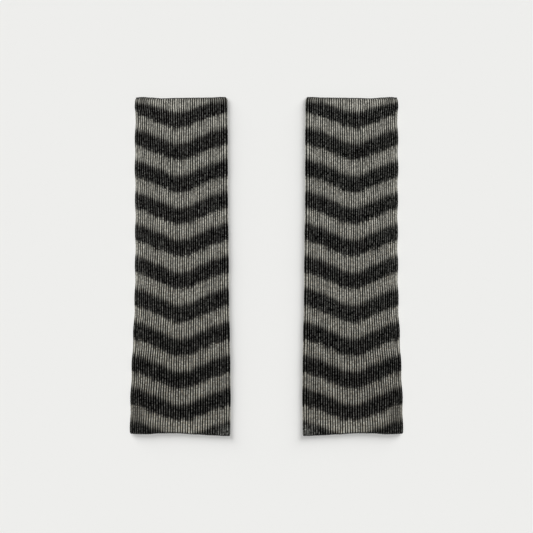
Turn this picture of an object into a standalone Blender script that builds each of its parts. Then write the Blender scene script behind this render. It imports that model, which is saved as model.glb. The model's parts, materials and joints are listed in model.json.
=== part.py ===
"""A pair of rib-knit leg warmers, laid flat side by side.

Each one is a seamless knitted tube, pressed flat so that its front lies on its back, with a
darker row of loops bound off round each mouth. The length runs along Y, +Z is up, and the
origin is under the middle of the pair, on the surface that it lies on. The right one is the
mirror image of the left one. Metres throughout.
"""

import math
from collections import namedtuple

import bmesh
import bpy
from mathutils import Matrix, Vector

MM = 0.001

# Driving sizes of one leg warmer
LENGTH = 423.8 * MM
MEAN_WIDTH = 118.0 * MM
RIBS_SHOWN = 47
RIB_RELIEF = 0.8 * MM
FOLD_WALL = 2.4 * MM
UNDERSIDE_WALL = 2.6 * MM
LAYER_GAP = 0.4 * MM
FOLD_REACH = 4.6 * MM
SEAM_GAP = 0.3 * MM
EDGE_ROW = 1.3 * MM
EDGE_SWELL = 0.35 * MM
EDGE_RELIEF = 0.4 * MM
CORNER_INSET = 0.9 * MM

POINTS_PER_RIB = 3
POINTS_PER_LOOP = 2
UNDERSIDE_STEPS = 8

# The tube's outline: distance along the length from its middle, the outer and the inner fold's
# distance from the pair's middle line, and the height of the two layers together, all in mm.
Section = namedtuple("Section", "along outer inner height")
SECTIONS = (
    Section(along=183.0, outer=163.8, inner=48.1, height=6.0),
    Section(along=148.0, outer=164.6, inner=47.8, height=6.2),
    Section(along=83.0, outer=164.2, inner=47.7, height=6.0),
    Section(along=20.0, outer=164.4, inner=46.6, height=6.3),
    Section(along=-42.0, outer=164.9, inner=46.2, height=6.1),
    Section(along=-92.0, outer=167.0, inner=44.9, height=6.3),
    Section(along=-129.0, outer=168.7, inner=44.1, height=6.4),
    Section(along=-179.0, outer=170.6, inner=44.0, height=6.2),
)
MOUTH_TOP = Section(along=None, outer=164.5, inner=48.7, height=5.9)
MOUTH_BOTTOM = Section(along=None, outer=170.4, inner=44.5, height=6.1)

# How the two mouths' edges run: share of the way from the outer fold to the inner one, how far
# the upper edge drops below its highest point, and how far the lower one stands above its lowest.
EdgeRun = namedtuple("EdgeRun", "across drop rise")
EDGE_RUNS = (
    EdgeRun(across=0.00, drop=1.2, rise=1.8),
    EdgeRun(across=0.07, drop=0.0, rise=1.2),
    EdgeRun(across=0.16, drop=0.2, rise=1.0),
    EdgeRun(across=0.28, drop=1.5, rise=1.8),
    EdgeRun(across=0.45, drop=1.2, rise=1.9),
    EdgeRun(across=0.66, drop=0.5, rise=1.0),
    EdgeRun(across=0.93, drop=0.0, rise=0.3),
    EdgeRun(across=1.00, drop=0.9, rise=0.0),
)

# The wall's section is a flattened ring: two straight stretches joined by two half ellipses.
UNDERSIDE, OUTER_FOLD, FRONT, INNER_FOLD = range(4)

KNIT_COLOUR = (0.072, 0.071, 0.065, 1.0)
EDGE_COLOUR = (0.012, 0.012, 0.011, 1.0)
WOOL_ROUGHNESS = 0.95

# One place round the section: the stretch that it is on, the share of that stretch behind it,
# and the share of the rib relief that stands there.
Place = namedtuple("Place", "stretch share relief")
# The size of one flattened ring, from its outer fold to its inner one, and from low to high.
Ring = namedtuple("Ring", "outer inner low high fold")


def fold_length(reach, half_height):
    """Length of the half ellipse round one fold."""
    return math.pi * math.sqrt((reach**2 + half_height**2) / 2)


def places_round(points_per_rib):
    """The places of the ribs' points, up one fold, over the front and down the other fold, and
    then back along the plain underside."""
    mean_height = sum(row.height for row in SECTIONS) / len(SECTIONS) * MM
    fold = fold_length(FOLD_REACH, mean_height / 2)
    front = MEAN_WIDTH - 2 * FOLD_REACH
    steps = RIBS_SHOWN * points_per_rib
    places = []
    for step in range(steps + 1):
        run = (2 * fold + front) * step / steps
        furrow = step % points_per_rib == 0
        relief = 0.0 if furrow else 1.0
        if run < fold:
            places.append(Place(OUTER_FOLD, run / fold, relief))
        elif run <= fold + front:
            places.append(Place(FRONT, (run - fold) / front, relief))
        else:
            places.append(Place(INNER_FOLD, (run - fold - front) / fold, relief))
    for step in range(1, UNDERSIDE_STEPS):
        places.append(Place(UNDERSIDE, step / UNDERSIDE_STEPS, 0.0))
    return places


def point_on(ring, place):
    """The point of a ring at a place, and the outward direction there, both as (across, up)."""
    middle = (ring.low + ring.high) / 2
    half_height = (ring.high - ring.low) / 2
    left = ring.outer + ring.fold
    right = ring.inner - ring.fold
    if place.stretch == FRONT:
        return (left + (right - left) * place.share, ring.high), (0.0, 1.0)
    if place.stretch == UNDERSIDE:
        return (right + (left - right) * place.share, ring.low), (0.0, -1.0)
    turn = math.pi * place.share
    if place.stretch == OUTER_FOLD:
        centre, angle = left, -math.pi / 2 - turn
    else:
        centre, angle = right, math.pi / 2 - turn
    point = (centre + ring.fold * math.cos(angle), middle + half_height * math.sin(angle))
    return point, (math.cos(angle), math.sin(angle))


def edge_run(across, column):
    """Eased reading of one column of EDGE_RUNS at a share of the way across."""
    rows = EDGE_RUNS
    across = min(max(across, 0.0), 1.0)
    for before, after in zip(rows, rows[1:]):
        if across <= after.across:
            share = (across - before.across) / (after.across - before.across)
            eased = share * share * (3 - 2 * share)
            low, high = getattr(before, column), getattr(after, column)
            return (low + (high - low) * eased) * MM
    return getattr(rows[-1], column) * MM


def along_mouth(across, top, back_off):
    """Where a mouth's edge runs at a share of the way across, moved back_off from the edge."""
    if top:
        return LENGTH / 2 - edge_run(across, "drop") - back_off
    return -LENGTH / 2 + edge_run(across, "rise") + back_off


def ring_points(ring, places, along, relief, swell=0.0):
    """The points of one ring. along is a distance, or a function of the share across."""
    points = []
    for place in places:
        (x, z), (out_x, out_z) = point_on(ring, place)
        stands = relief * place.relief * min(1.0, 1.0 + out_z) + swell * max(0.0, out_z)
        across = (x - ring.outer) / (ring.inner - ring.outer)
        y = along(across) if callable(along) else along
        points.append((x + out_x * stands, y, z + out_z * stands))
    return points


def outside_ring(row, inset=0.0):
    """The furrows' ring of a section: the ribs stand out from it, up to the section's sizes."""
    return Ring(
        outer=-row.outer * MM + RIB_RELIEF + inset,
        inner=-row.inner * MM - RIB_RELIEF - inset,
        low=0.0,
        high=row.height * MM - RIB_RELIEF,
        fold=FOLD_REACH,
    )


def inside_ring(outside):
    """The plain ring inside the wall, pressed flat: the front layer lies on the back one."""
    return Ring(
        outer=outside.outer + FOLD_WALL,
        inner=outside.inner - FOLD_WALL,
        low=UNDERSIDE_WALL,
        high=UNDERSIDE_WALL + LAYER_GAP,
        fold=outside.fold - FOLD_WALL,
    )


def loft(name, rings):
    """A closed wall through rings of the same number of points: up its outside, over one edge,
    down its inside and over the other edge."""
    mesh = bmesh.new()
    rows = [[mesh.verts.new(point) for point in ring] for ring in rings]
    count = len(rows[0])
    for lower, upper in zip(rows, rows[1:] + rows[:1]):
        for i in range(count):
            j = (i + 1) % count
            mesh.faces.new((lower[i], lower[j], upper[j], upper[i]))
    bmesh.ops.recalc_face_normals(mesh, faces=mesh.faces)
    data = bpy.data.meshes.new(name)
    mesh.to_mesh(data)
    mesh.free()
    return data


def mirrored(data, name):
    """The mirror image of a mesh across the pair's middle plane, with its faces still outward."""
    twin = data.copy()
    twin.name = name
    twin.transform(Matrix.Scale(-1.0, 4, Vector((1.0, 0.0, 0.0))))
    twin.flip_normals()
    return twin


def tube_mesh(name):
    """The knitted tube of the left leg warmer, ribbed outside and plain inside."""
    places = places_round(POINTS_PER_RIB)
    end = EDGE_ROW + SEAM_GAP

    def top(across):
        return along_mouth(across, True, end)

    def bottom(across):
        return along_mouth(across, False, end)

    stops = [(MOUTH_TOP, top)]
    stops += [(row, row.along * MM) for row in SECTIONS]
    stops += [(MOUTH_BOTTOM, bottom)]
    outside = [ring_points(outside_ring(row), places, along, RIB_RELIEF) for row, along in stops]
    inner_stops = [stops[0], *stops[2:-1:2], stops[-1]]
    inside = [
        ring_points(inside_ring(outside_ring(row)), places, along, 0.0)
        for row, along in inner_stops
    ]
    return loft(name, outside + inside[::-1])


def edge_mesh(name, row, top):
    """The row of loops bound off round one mouth: thinner than the rib, and swollen midway."""
    places = places_round(POINTS_PER_LOOP)
    depths = (EDGE_ROW, EDGE_ROW / 2, 0.0)
    swells = (0.0, EDGE_SWELL, 0.0)
    insets = (0.0, 0.0, CORNER_INSET)
    outside = []
    for depth, swell, inset in zip(depths, swells, insets):
        outside.append(
            ring_points(
                outside_ring(row, inset),
                places,
                lambda across, depth=depth: along_mouth(across, top, depth),
                EDGE_RELIEF,
                swell,
            )
        )
    inside = []
    for depth, inset in zip((0.0, EDGE_ROW), (CORNER_INSET, 0.0)):
        inside.append(
            ring_points(
                inside_ring(outside_ring(row, inset)),
                places,
                lambda across, depth=depth: along_mouth(across, top, depth),
                0.0,
            )
        )
    return loft(name, outside + inside)


def wool(name, colour):
    """Matt wool of one colour."""
    material = bpy.data.materials.new(name)
    material.use_nodes = True
    shader = material.node_tree.nodes["Principled BSDF"]
    shader.inputs["Base Color"].default_value = colour
    shader.inputs["Roughness"].default_value = WOOL_ROUGHNESS
    shader.inputs["Metallic"].default_value = 0.0
    material.diffuse_color = colour
    return material


def add_piece(collection, name, data, material):
    """One named object of the pair."""
    data.materials.append(material)
    piece = bpy.data.objects.new(name, data)
    collection.objects.link(piece)


def main():
    for old in list(bpy.data.objects):
        bpy.data.objects.remove(old)
    collection = bpy.data.collections.new("leg_warmers")
    bpy.context.scene.collection.children.link(collection)
    knit_wool = wool("rib_knit_wool", KNIT_COLOUR)
    edge_wool = wool("bound_off_wool", EDGE_COLOUR)
    pieces = (
        ("tube", tube_mesh("left_tube"), knit_wool),
        ("top_edge", edge_mesh("left_top_edge", MOUTH_TOP, True), edge_wool),
        ("bottom_edge", edge_mesh("left_bottom_edge", MOUTH_BOTTOM, False), edge_wool),
    )
    for part, data, material in pieces:
        twin = mirrored(data, "right_" + part)
        add_piece(collection, "left_" + part, data, material)
        add_piece(collection, "right_" + part, twin, material)


main()
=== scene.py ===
"""The looks of a pair of rib-knit leg warmers that lie flat side by side, seen from straight above.

Each one is a knitted tube pressed flat, in 1 by 1 rib: the ribs run along Y and its courses lie
across them. The left one is modelled and the right one is its mirror image. Distances in the
tables are in millimetres, and everything else is in metres.
"""

import json
import math
from collections import namedtuple

import bpy
import numpy as np
from bpy.props import FloatProperty, FloatVectorProperty, IntProperty, PointerProperty
from mathutils import Matrix, Vector

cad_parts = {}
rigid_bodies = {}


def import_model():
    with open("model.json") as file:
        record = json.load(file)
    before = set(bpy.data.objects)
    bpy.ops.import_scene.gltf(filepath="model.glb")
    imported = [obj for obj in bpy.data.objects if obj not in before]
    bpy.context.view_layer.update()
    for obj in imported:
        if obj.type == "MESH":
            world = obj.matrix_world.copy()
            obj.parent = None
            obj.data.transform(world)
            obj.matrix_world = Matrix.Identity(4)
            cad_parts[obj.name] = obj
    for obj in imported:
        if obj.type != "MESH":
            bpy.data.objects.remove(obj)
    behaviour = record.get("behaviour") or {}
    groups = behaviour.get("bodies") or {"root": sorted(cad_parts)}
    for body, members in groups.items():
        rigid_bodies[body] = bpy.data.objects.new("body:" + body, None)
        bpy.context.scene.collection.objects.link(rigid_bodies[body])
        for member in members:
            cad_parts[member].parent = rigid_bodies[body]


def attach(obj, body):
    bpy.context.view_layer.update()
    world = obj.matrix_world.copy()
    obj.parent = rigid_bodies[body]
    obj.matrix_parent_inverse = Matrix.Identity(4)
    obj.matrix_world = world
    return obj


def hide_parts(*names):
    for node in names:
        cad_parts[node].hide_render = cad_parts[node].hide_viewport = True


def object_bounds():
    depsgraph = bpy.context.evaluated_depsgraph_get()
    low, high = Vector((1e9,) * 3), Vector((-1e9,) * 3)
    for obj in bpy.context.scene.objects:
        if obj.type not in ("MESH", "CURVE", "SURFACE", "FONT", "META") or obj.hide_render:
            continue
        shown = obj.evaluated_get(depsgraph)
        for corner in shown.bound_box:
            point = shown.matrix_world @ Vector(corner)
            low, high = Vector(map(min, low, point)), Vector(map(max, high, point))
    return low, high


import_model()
CAD_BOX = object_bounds()

bl_info = {
    "name": "Rib Knit Leg Warmers",
    "version": (1, 0, 0),
    "blender": (4, 5, 0),
    "location": "View3D > Sidebar > Leg Warmers",
    "description": "Builds a pair of chevron-striped rib-knit leg warmers, laid flat",
    "category": "Add Mesh",
}

MM = 0.001
BODY = "root"

# A range: of readings, of factors, or of heights on the map that textures are baked through
Range = namedtuple("Range", "low high")

# The pair's length, how much of it a row of loops takes up at each mouth, and how far in from the
# mouth the middle of that row lies
LENGTH = CAD_BOX[1][1] - CAD_BOX[0][1]
EDGE_ROW = 1.0 * MM
LOOP_MIDDLE = 0.72 * MM

# The loops' path has so many points for each rib, a loop's ring so many points and its yarn so
# many sides. A loop's narrow end is as wide as this share of its round end.
PATH_POINTS_PER_RIB = 2
LOOP_POINTS = 12
YARN_SIDES = 6
NARROW_END = 0.6

# The smallest and the largest loops beside the usual one: along the edge, out from it and over it
LARGEST_LOOP = 1.1
LOOP_SCALES = Range(low=(0.93, 0.9, 0.9), high=(1.07, 1.1, LARGEST_LOOP))

# How much higher the chain of loops lies than it would if it touched the surface along its
# underside: the stiff loops that turn the corners at the folds swing down below it
LOOP_CLEARANCE = 0.25 * MM

# How far a fold reaches in from the outline, and the cloth's thickness inside the outline
FOLD_REACH = 3.8 * MM
FOLD_WALL = 2.4 * MM
UNDERSIDE_WALL = 2.6 * MM
LAYER_GAP = 0.4 * MM

# How many ribs go round each fold
OUTER_FOLD_RIBS = 4.5
INNER_FOLD_RIBS = 3.9

# How much of the ribs' depth is stretched away where they go round a fold
FOLD_STRETCH = 0.45

# How far the furrows open round the outer and the inner fold, which lessens their painted shade,
# and the painted light and shade there: how much paler the outer fold is painted, as the light
# catches it, and how much darker the inner one, which is turned from the light
PaintedFoldLight = namedtuple("PaintedFoldLight", "opened tone")
PAINTED_OUTER_LIGHT = PaintedFoldLight(opened=0.3, tone=0.2)
PAINTED_INNER_SHADE = PaintedFoldLight(opened=0.0, tone=-0.08)

# How far the cloth has turned sideways where the furrows' opening and that painted light and
# shade begin, and where they are complete
FOLD_TURN = Range(low=0.1, high=0.8)

# How much narrower the ribs lie next to the outer and the inner fold than the tube's width gives
# them, at the upper mouth and at the lower one, and the share of the front that this fades over
Narrowing = namedtuple("Narrowing", "top bottom")
OUTER_NARROWING = Narrowing(top=0.12, bottom=0.3)
INNER_NARROWING = Narrowing(top=0.08, bottom=0.2)
NARROWING_REACH = 0.08

# Where the vertex columns stand in a rib: the furrow, the left leg of its stitches, the groove
# between the legs, and the right leg
COLUMN_SHARES = (0.0, 0.27, 0.5, 0.73)

# How much of the rib's depth the wall stands up there, and in the next furrow
COLUMN_HEIGHTS = (0.0, 1.0, 0.8, 1.0, 0.0)

# Rows of vertices on the ribbed face and on the plain face inside the wall
ROWS_PER_COURSE = 2
COURSES_PER_INNER_ROW = 32

# The stitches' legs lie level at a mouth and climb in full from so many courses on
LEVEL_COURSES = 2.0

# The tube's outline: distance along the length from its middle, the outer and the inner fold's
# distance from the pair's middle line, and the height of the two layers together. It is eased by
# taking the mean of its readings so far to either side.
Section = namedtuple("Section", "along outer inner height")
SECTIONS = (
    Section(along=210.0, outer=164.6, inner=48.8, height=5.9),
    Section(along=183.0, outer=163.6, inner=48.3, height=6.0),
    Section(along=148.0, outer=164.5, inner=48.1, height=6.2),
    Section(along=83.0, outer=163.9, inner=48.1, height=6.0),
    Section(along=20.0, outer=163.9, inner=47.0, height=6.3),
    Section(along=-42.0, outer=164.5, inner=46.7, height=6.1),
    Section(along=-92.0, outer=166.7, inner=45.3, height=6.3),
    Section(along=-129.0, outer=168.5, inner=44.9, height=6.4),
    Section(along=-179.0, outer=170.4, inner=44.4, height=6.2),
    Section(along=-210.0, outer=170.3, inner=45.3, height=6.1),
)
OUTLINE_EASE = (-16.0, -8.0, 0.0, 8.0, 16.0)

# The radius of the mouths' corners at the folds
TOP_CORNER = 3.5 * MM
BOTTOM_CORNER = 2.2 * MM

# How the two mouths' edges run: share of the way from the outer fold to the inner one, how far
# the upper edge drops below its highest point, and how far the lower one stands above its lowest
EdgeRun = namedtuple("EdgeRun", "across drop rise")
EDGE_RUNS = (
    EdgeRun(across=0.00, drop=1.4, rise=3.2),
    EdgeRun(across=0.07, drop=0.3, rise=2.6),
    EdgeRun(across=0.16, drop=0.9, rise=2.4),
    EdgeRun(across=0.28, drop=2.0, rise=3.5),
    EdgeRun(across=0.45, drop=1.4, rise=3.7),
    EdgeRun(across=0.66, drop=1.1, rise=2.1),
    EdgeRun(across=0.82, drop=0.9, rise=1.0),
    EdgeRun(across=0.93, drop=0.2, rise=0.4),
    EdgeRun(across=1.00, drop=0.5, rise=0.0),
)

# The dark stripes, counted down from the upper mouth: where the middle of one lies along the
# length at the chevron's point, the point's distance from the pair's middle line, and how far
# the stripe climbs from there to the outer and to the inner fold. Stripes between two rows of
# the table are evenly spaced.
Chevron = namedtuple("Chevron", "stripe along point outer_rise inner_rise")
CHEVRONS = (
    Chevron(stripe=-1.0, along=224.9, point=111.5, outer_rise=15.9, inner_rise=18.5),
    Chevron(stripe=4.0, along=25.0, point=107.5, outer_rise=18.9, inner_rise=19.3),
    Chevron(stripe=5.5, along=-35.9, point=107.0, outer_rise=19.7, inner_rise=19.9),
    Chevron(stripe=7.0, along=-98.8, point=106.6, outer_rise=20.4, inner_rise=19.4),
    Chevron(stripe=10.0, along=-222.1, point=106.4, outer_rise=20.8, inner_rise=18.6),
)

# The share of the way from the chevron's point to a fold that its slope is rounded over, at the
# point and at the outer and the inner fold
POINT_ROUNDING = 0.25
OUTER_ROUNDING = 0.2
INNER_ROUNDING = 0.35

# How much the dark stripes narrow at the chevron's point, as a share of a stripe for each of
# their edges, and how far that reaches to either side
POINT_NARROWING = 0.012
POINT_REACH = 16.0 * MM

# How far the dark stripes swell out past the light ones at the outer and at the inner fold
OUTER_BULGE = 0.45 * MM
INNER_BULGE = 0.1 * MM

# Soft creases of the front layer: where the middle lies, half its length and width, how deep it
# is (a ridge is below zero), and how far it leans off the ribs' direction, in degrees
Crease = namedtuple("Crease", "along across length width depth lean")
CREASES = (
    Crease(along=158.0, across=146.0, length=62.0, width=4.5, depth=0.55, lean=2.0),
    Crease(along=172.0, across=62.0, length=40.0, width=6.0, depth=0.35, lean=-4.0),
    Crease(along=96.0, across=118.0, length=70.0, width=9.0, depth=0.30, lean=3.0),
    Crease(along=38.0, across=72.0, length=54.0, width=7.0, depth=-0.25, lean=-2.0),
    Crease(along=4.0, across=150.0, length=60.0, width=6.0, depth=-0.30, lean=1.0),
    Crease(along=-58.0, across=100.0, length=80.0, width=10.0, depth=0.35, lean=-3.0),
    Crease(along=-120.0, across=138.0, length=46.0, width=7.0, depth=-0.30, lean=5.0),
    Crease(along=-168.0, across=158.0, length=40.0, width=6.5, depth=0.75, lean=-7.0),
    Crease(along=-186.0, across=56.0, length=32.0, width=6.0, depth=0.60, lean=9.0),
)

# How far the ribs wander sideways: each furrow follows a sum of waves of about these lengths,
# each longer or shorter by a factor of its own
WANDER = 0.13 * MM
WANDER_WAVES = (210.0, 118.0, 67.0)
WAVE_FACTORS = Range(low=0.8, high=1.25)
WANDER_SEED = 11

# Where the stripes come early or late: the middle of the place, half its length and width, and
# the share of a stripe that they shift by
StripeShift = namedtuple("StripeShift", "along across length width shift")
STRIPE_SHIFTS = (
    StripeShift(along=206.0, across=108.0, length=10.0, width=70.0, shift=-0.08),
    StripeShift(along=206.0, across=52.0, length=7.0, width=14.0, shift=-0.13),
    StripeShift(along=207.0, across=158.0, length=6.0, width=14.0, shift=-0.12),
    StripeShift(along=194.0, across=164.0, length=5.0, width=6.0, shift=0.12),
    StripeShift(along=-190.0, across=112.0, length=10.0, width=18.0, shift=0.06),
    StripeShift(along=-207.0, across=48.0, length=11.0, width=14.0, shift=0.1),
    StripeShift(along=-208.0, across=166.0, length=8.0, width=9.0, shift=0.08),
)

# How light the wool is from the middle of one dark stripe down to the middle of the next: the
# lower edge of a dark stripe is sharper than the upper one
STRIPE_FADE = (
    (0.0, 0.0), (0.18, 0.015), (0.225, 0.11), (0.263, 0.37), (0.303, 0.73), (0.355, 0.95), (0.5, 1.0),
    (0.61, 0.97), (0.685, 0.84), (0.735, 0.57), (0.77, 0.3), (0.81, 0.12), (0.87, 0.02), (1.0, 0.0),
)

# How pale the wool is along the length
LengthTone = namedtuple("LengthTone", "along tone")
LENGTH_TONES = (
    LengthTone(along=-212.0, tone=0.84),
    LengthTone(along=-190.0, tone=0.76),
    LengthTone(along=-152.0, tone=0.65),
    LengthTone(along=-102.0, tone=0.71),
    LengthTone(along=-42.0, tone=0.8),
    LengthTone(along=170.0, tone=0.82),
    LengthTone(along=200.0, tone=0.95),
    LengthTone(along=212.0, tone=1.0),
)

# Painted shade under the loops at a mouth: how dark the wool is painted in the last rows of
# stitches, as courses from the mouth, and how much of its tone the wool has there
MOUTH_ROWS = (0.0, 0.5, 1.0)
MOUTH_PAINTED_SHADE = (0.25, 0.7, 1.0)

# Places where the wool is paler or darker and its furrows open: the middle of the place, half
# its length and width, how far its furrows open, and how much paler or darker its wool looks.
# Some paint light or shade: the long strip beside the outer fold is painted paler where the light
# catches the fold, and the places at the upper mouth carry painted shade on top rows that face
# the light.
ToneSpot = namedtuple("ToneSpot", "along across length width opened tone")
TONE_SPOTS = (
    ToneSpot(along=208.0, across=158.0, length=6.0, width=13.0, opened=0.45, tone=-0.35),
    ToneSpot(along=208.0, across=52.0, length=6.0, width=13.0, opened=0.15, tone=-0.35),
    ToneSpot(along=-207.0, across=49.0, length=8.0, width=11.0, opened=0.75, tone=3.2),
    ToneSpot(along=-184.0, across=159.0, length=15.0, width=9.0, opened=0.3, tone=-0.4),
    ToneSpot(along=-203.0, across=134.0, length=9.0, width=20.0, opened=0.2, tone=-0.26),
    ToneSpot(along=80.0, across=148.0, length=80.0, width=3.5, opened=0.35, tone=-0.02),
    ToneSpot(along=20.0, across=159.0, length=140.0, width=8.0, opened=0.0, tone=0.2),
    ToneSpot(along=60.0, across=161.8, length=130.0, width=2.6, opened=0.55, tone=0.0),
    ToneSpot(along=-180.0, across=167.0, length=50.0, width=2.6, opened=0.45, tone=0.0),
    ToneSpot(along=0.0, across=104.0, length=600.0, width=26.0, opened=0.0, tone=0.04),
)

# The painted shade across a rib: how light the wool is painted from one furrow across its two
# legs to the next, nearly black in the furrows and a little darker in the groove between the
# legs, in the pale wool and in the dark wool, which scatters less light into its furrows and so
# shows only its ribs' tops
PALE_RIB_SHADE = (
    (0.0, 0.0), (0.16, 0.03), (0.305, 0.82), (0.42, 1.0), (0.5, 0.88),
    (0.58, 1.0), (0.695, 0.82), (0.84, 0.03), (1.0, 0.0),
)
DARK_RIB_SHADE = (
    (0.0, 0.0), (0.3, 0.0), (0.37, 0.6), (0.43, 1.0), (0.5, 0.95),
    (0.57, 1.0), (0.63, 0.6), (0.7, 0.0), (1.0, 0.0),
)

# How light the painted furrow shade leaves an open furrow, in the dark wool and in the pale wool
OPENED_SHADE = Range(low=0.25, high=0.5)

# How much sooner or later each rib changes colour, and each stitch, as a share of a stripe
CHANGE_SPREAD = Range(low=-0.03, high=0.03)

# How much the wool's tone varies: from stitch to stitch, from rib to rib, from midway up a course
# to the dip between two, where painted shade darkens it, and in the loops' yarn. A rib that stands
# full is paler, and the painted shade of its furrows is drawn narrower: its shade is raised to
# this power, for the slimmest and for the fullest rib.
STITCH_TONES = Range(low=0.62, high=1.32)
RIB_TONES = Range(low=0.88, high=1.12)
COURSE_DIP_SHADE = Range(low=1.0, high=0.65)
RIB_SLIMNESS = Range(low=1.25, high=0.85)
LOOP_TONES = Range(low=0.6, high=1.4)

# How far apart on a noise two ribs lie, and two courses, so that a rib stays full or slim along
# some of its length and differs from the next one
STREAK_PER_RIB = 7.31
STREAK_PER_COURSE = 0.11

# The readings of each noise between which its effect grows from none to all
STREAK_READINGS = Range(low=0.3, high=0.7)
FLECK_READINGS = Range(low=0.5, high=0.7)
HEATHER_READINGS = Range(low=0.37, high=0.77)

# How much the warm fibres show at the lower and at the upper mouth
WARM_FIBRES = Range(low=0.9, high=0.4)

# How often the yarn's plies turn across a rib's width, how high their lines stand beside the
# hairs, and how far the finest relief of the wool stands out
TWIST_TURNS = 7.0
TWIST_HEIGHT = 0.35
FIBRE_RELIEF = 0.15 * MM

# The two soft lights, one for each leg warmer: how wide each looks, in degrees, and where it
# stands: outwards from the pair's middle line, towards the upper mouths, and up
LIGHT_WIDTH = 46.0
LIGHT_PLACE = (1.45, 1.5, 1.0)

# The lowest and the highest reading of a wave
WAVE = Range(low=-1.0, high=1.0)

# The stretches of the flattened ring
OUTER_FOLD, FRONT, INNER_FOLD, UNDERSIDE = range(4)

# Sizes of the wool's own patterns: a tuft of warm fibres, a patch of paler charcoal fibres, a
# clump of surface hairs, and a tuft in the loops' yarn. Real fibres are 0.03 mm thick, too fine
# for the picture, so hairs and tufts are drawn as clumps of many.
FLECK = 1.1 * MM
HEATHER = 2.4 * MM
HAIR = 0.38 * MM
LOOP_FIBRE = 0.7 * MM

# The map that textures are baked through: shares of its height for each part of a wall
BAKE_MAP = "OFBake"
OUTSIDE_STRIP = Range(low=0.0, high=0.9)
INSIDE_STRIP = Range(low=0.905, high=0.96)
RIM_STRIPS = (Range(low=0.964, high=0.97), Range(low=0.974, high=0.98))
SIDE_STRIPS = (Range(low=0.984, high=0.989), Range(low=0.993, high=0.998))

# What every colour property is: an opaque colour from black to white
COLOUR = {"subtype": "COLOR", "size": 4, "min": 0.0, "max": 1.0}


def linear(colour):
    """The linear RGBA of an sRGB hex colour."""
    channels = []
    for start in (1, 3, 5):
        value = int(colour[start : start + 2], 16) / 255
        channels.append(value / 12.92 if value <= 0.04045 else ((value + 0.055) / 1.055) ** 2.4)
    return (*channels, 1.0)


class KnitSizes(bpy.types.PropertyGroup):
    """Sizes of the rib knit."""

    ribs_over: IntProperty(
        name="Ribs Over", description="Ribs over the front and both folds", default=47, min=8
    )
    ribs_under: IntProperty(
        name="Ribs Under", description="Ribs along the underside", default=39, min=8
    )
    courses: IntProperty(
        name="Courses", description="Rows of stitches from mouth to mouth", default=256, min=32
    )
    rib_depth: FloatProperty(
        name="Rib Depth", description="From a furrow to a rib's top", default=1.4 * MM, unit="LENGTH"
    )
    stitch_depth: FloatProperty(
        name="Stitch Depth", description="Dip between two stitches", default=0.32 * MM, unit="LENGTH"
    )
    stitch_climb: FloatProperty(
        name="Stitch Climb", description="Courses that a stitch's leg climbs", default=1.15
    )
    unevenness: FloatProperty(
        name="Unevenness",
        description="Spread of the stitches' heights",
        default=0.16 * MM,
        unit="LENGTH",
    )


class EdgeSizes(bpy.types.PropertyGroup):
    """Sizes of the rows of loops round the mouths."""

    loops: IntProperty(name="Loops", description="Loops round one mouth", default=86, min=12)
    loop_length: FloatProperty(
        name="Loop Length", description="A loop's length along the edge", default=4.6 * MM, unit="LENGTH"
    )
    loop_width: FloatProperty(
        name="Loop Width", description="A loop's width over the edge", default=1.75 * MM, unit="LENGTH"
    )
    yarn_radius: FloatProperty(
        name="Yarn Radius", description="Half the yarn's thickness", default=0.48 * MM, unit="LENGTH"
    )
    lift: FloatProperty(
        name="Lift", description="How far a loop's round end stands out", default=0.3 * MM, unit="LENGTH"
    )


class WoolColours(bpy.types.PropertyGroup):
    """Colours of the wool."""

    soot: FloatVectorProperty(
        name="Soot", description="The dark stripes' darkest fibres", default=linear("#0F0F0F"), **COLOUR
    )
    charcoal: FloatVectorProperty(
        name="Charcoal", description="The dark stripes' palest fibres", default=linear("#A6A6A0"), **COLOUR
    )
    grey: FloatVectorProperty(
        name="Warm Grey", description="The light stripes", default=linear("#D0CFC5"), **COLOUR
    )
    fleck: FloatVectorProperty(
        name="Fleck", description="Warm fibres in the grey", default=linear("#BFAA8C"), **COLOUR
    )
    edge: FloatVectorProperty(
        name="Edge", description="The loops round the mouths", default=linear("#232321"), **COLOUR
    )


class StageLook(bpy.types.PropertyGroup):
    """The floor, the lights and the camera."""

    floor: FloatVectorProperty(
        name="Floor", description="The pale surface", default=linear("#F0F0EE"), **COLOUR
    )
    floor_reach: FloatProperty(
        name="Floor Reach", description="How far the surface runs each way", default=200.0, unit="LENGTH"
    )
    view_width: FloatProperty(
        name="View Width", description="Width that the picture takes in", default=666.25 * MM, unit="LENGTH"
    )
    lens: FloatProperty(name="Lens", description="Focal length, in millimetres", default=135.0)
    ambient: FloatProperty(name="Ambient", description="Strength of the light from all round", default=0.15)
    key: FloatProperty(name="Key", description="Strength of each of the two soft lights", default=3.02)


def add_node(tree, kind, inputs=None, **settings):
    """Adds a node with its settings, and gives its outputs. inputs gives, by name or number, a
    value or another node's output."""
    node = tree.nodes.new(kind)
    for name, value in settings.items():
        setattr(node, name, value)
    for name, value in (inputs or {}).items():
        if isinstance(value, bpy.types.NodeSocket):
            tree.links.new(value, node.inputs[name])
        else:
            node.inputs[name].default_value = value
    return node.outputs


def set_curve(output, points):
    """Gives the curve node that an output belongs to its points."""
    mapping = output.node.mapping
    curve = mapping.curves[0]
    while len(curve.points) < len(points):
        curve.points.new(0.5, 0.5)
    for point, place in zip(curve.points, points):
        point.location = place
    mapping.update()


def span(word, ends):
    """The inputs for the two ends of a range, such as From Min and From Max."""
    return {word + " Min": ends[0], word + " Max": ends[1]}


def course_wave(tree, course):
    """The output of a wave along the length: 1 between two courses and -1 midway up each."""
    turn = add_node(tree, "ShaderNodeMath", {0: course, 1: 2 * math.pi}, operation="MULTIPLY")[0]
    return add_node(tree, "ShaderNodeMath", {0: turn}, operation="COSINE")[0]


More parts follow.
